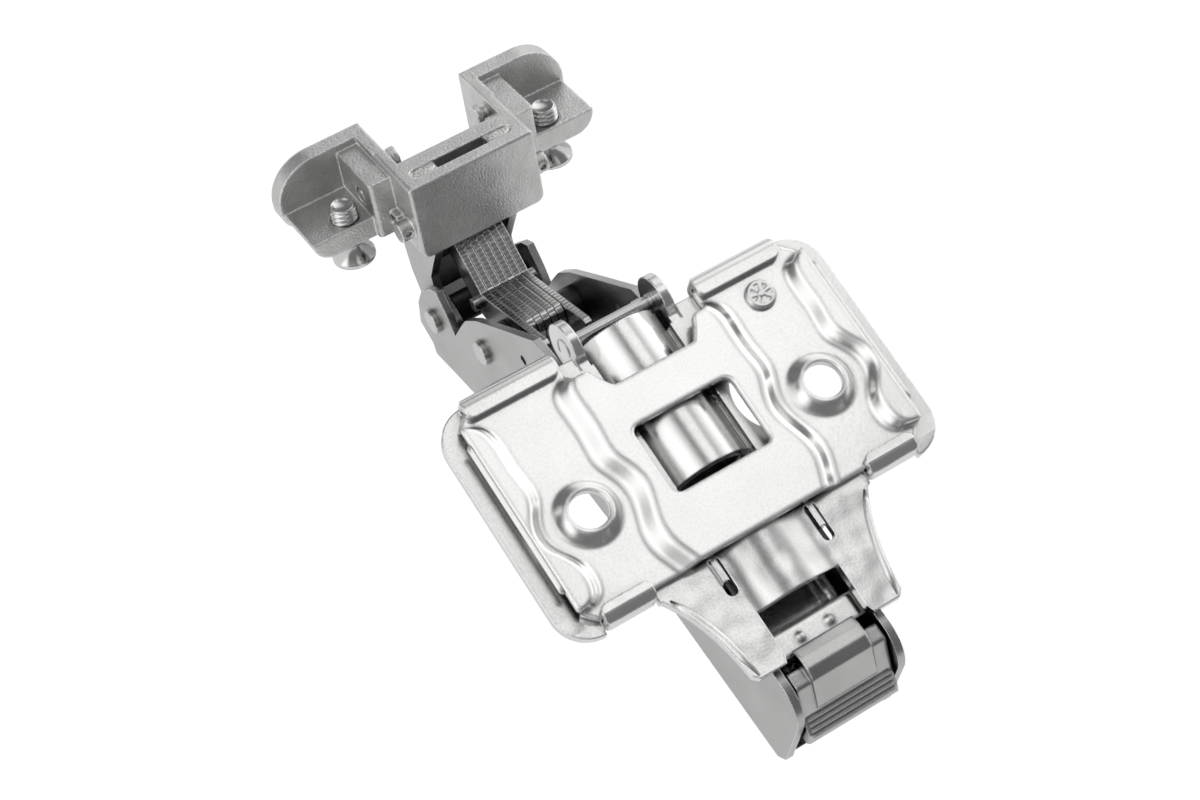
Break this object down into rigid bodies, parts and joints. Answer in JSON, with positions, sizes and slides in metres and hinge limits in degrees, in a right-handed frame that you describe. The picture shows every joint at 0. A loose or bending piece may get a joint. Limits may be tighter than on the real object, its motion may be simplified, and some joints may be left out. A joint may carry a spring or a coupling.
{
  "type": "concealed cabinet hinge",
  "caption": "Clip-on concealed cabinet hinge with a cast clamp bracket for an aluminium-frame door, a cranked channel arm, a laminated link and a two-sheet wing mounting plate.",
  "frame": {"origin": "centre of the two fixing holes, on the face that lies on the cabinet side", "axes": "+Z into the cabinet side, +X out of the cabinet towards the door, +Y along the line of the fixing holes"},
  "size_m": [0.0977, 0.0518, 0.0474],
  "materials": {
    "plated_sheet": "bright nickel-plated pressed steel",
    "arm_steel": "satin nickel-plated steel",
    "link_steel": "nickel-plated steel laminations with fine cross marks",
    "cast_metal": "nickel-plated zinc die casting, fine grain",
    "screw_steel": "bright nickel-plated steel",
    "pin_steel": "drawn steel pin",
    "sleeve_dark": "black plastic spacer"
  },
  "bodies": {
    "base": {"base_plate": "plated_sheet"},
    "height_adjuster": {"height_cam": "screw_steel"},
    "saddle": {"saddle_plate": "plated_sheet", "hook_rod": "pin_steel", "carriage": "plated_sheet", "lever_pin": "pin_steel", "lever_spring": "pin_steel"},
    "lever": {"clip_lever": "plated_sheet"},
    "depth_adjuster": {"depth_screw": "screw_steel"},
    "slider": {"slide_plate": "plated_sheet"},
    "side_adjuster": {"side_screw": "screw_steel"},
    "arm": {"hinge_arm": "arm_steel", "tilt_pin": "pin_steel", "pivot_arm_outer": "pin_steel", "pivot_arm_inner": "pin_steel", "sleeve_left": "sleeve_dark", "sleeve_right": "sleeve_dark", "link_sleeve": "sleeve_dark"},
    "outer_link": {"outer_link": "arm_steel"},
    "inner_link": {"link_plate_1": "link_steel", "link_plate_2": "link_steel", "link_plate_3": "link_steel", "link_plate_4": "link_steel", "link_plate_5": "link_steel", "link_plate_6": "link_steel", "link_plate_7": "link_steel", "stack_rivet": "pin_steel"},
    "door_bracket": {"bracket": "cast_metal", "pivot_outer_bracket": "pin_steel", "pivot_link_bracket": "pin_steel"},
    "clamp_left": {"clamp_screw_left": "screw_steel"},
    "clamp_right": {"clamp_screw_right": "screw_steel"}
  },
  "joints": [
    {"name": "height_slide", "type": "slide", "parent": "base", "child": "saddle", "axis": [0, 1, 0], "range_m": [-0.0018, 0.0018]},
    {"name": "height_turn", "type": "hinge", "parent": "base", "child": "height_adjuster", "pos_m": [0.0129, -0.0161, -0.002], "axis": [0, 0, 1], "range_deg": [-52, 52]},
    {"name": "lever_press", "type": "hinge", "parent": "saddle", "child": "lever", "pos_m": [-0.026, 0, -0.0115], "axis": [0, -1, 0], "range_deg": [0, 12], "stiffness_Nm_per_rad": 0.05, "springref_deg": -17.19},
    {"name": "depth_slide", "type": "slide", "parent": "saddle", "child": "slider", "axis": [1, 0, 0], "range_m": [-0.0015, 0.0015]},
    {"name": "depth_turn", "type": "hinge", "parent": "saddle", "child": "depth_adjuster", "pos_m": [-0.008, 0, -0.012], "axis": [0, 0, 1], "range_deg": [-125, 125]},
    {"name": "side_tilt", "type": "hinge", "parent": "slider", "child": "arm", "pos_m": [-0.015, 0, -0.0152], "axis": [0, -1, 0], "range_deg": [-0.8, 0.8]},
    {"name": "side_turn", "type": "hinge", "parent": "slider", "child": "side_adjuster", "pos_m": [0.006, 0, -0.016], "axis": [0, 0, 1], "range_deg": [-108, 108]},
    {"name": "door_swing", "type": "hinge", "parent": "outer_link", "child": "door_bracket", "pos_m": [0.04951, 0, -0.02213], "axis": [0, -1, 0], "range_deg": [-53.5, 24]},
    {"name": "outer_link_swing", "type": "hinge", "parent": "arm", "child": "outer_link", "pos_m": [0.04305, 0, -0.0392], "axis": [0, -1, 0], "range_deg": [-12.4, 5.7]},
    {"name": "inner_link_swing", "type": "hinge", "parent": "arm", "child": "inner_link", "pos_m": [0.0323, 0, -0.0286], "axis": [0, -1, 0], "range_deg": [-15.4, 7]},
    {"name": "clamp_left_travel", "type": "slide", "parent": "door_bracket", "child": "clamp_left", "axis": [-0.4226, 0, -0.9063], "range_m": [0, 0.0015]},
    {"name": "clamp_right_travel", "type": "slide", "parent": "door_bracket", "child": "clamp_right", "axis": [-0.4226, 0, -0.9063], "range_m": [0, 0.0015]}
  ],
  "couplings": [
    {"joint": "height_turn", "follows": "height_slide", "rad_per_m": -500},
    {"joint": "depth_turn", "follows": "depth_slide", "rad_per_m": 1396},
    {"joint": "side_turn", "follows": "side_tilt", "ratio": 131},
    {"joint": "outer_link_swing", "follows": "door_swing", "ratio": 0.2249},
    {"joint": "inner_link_swing", "follows": "door_swing", "ratio": 0.2794}
  ]
}
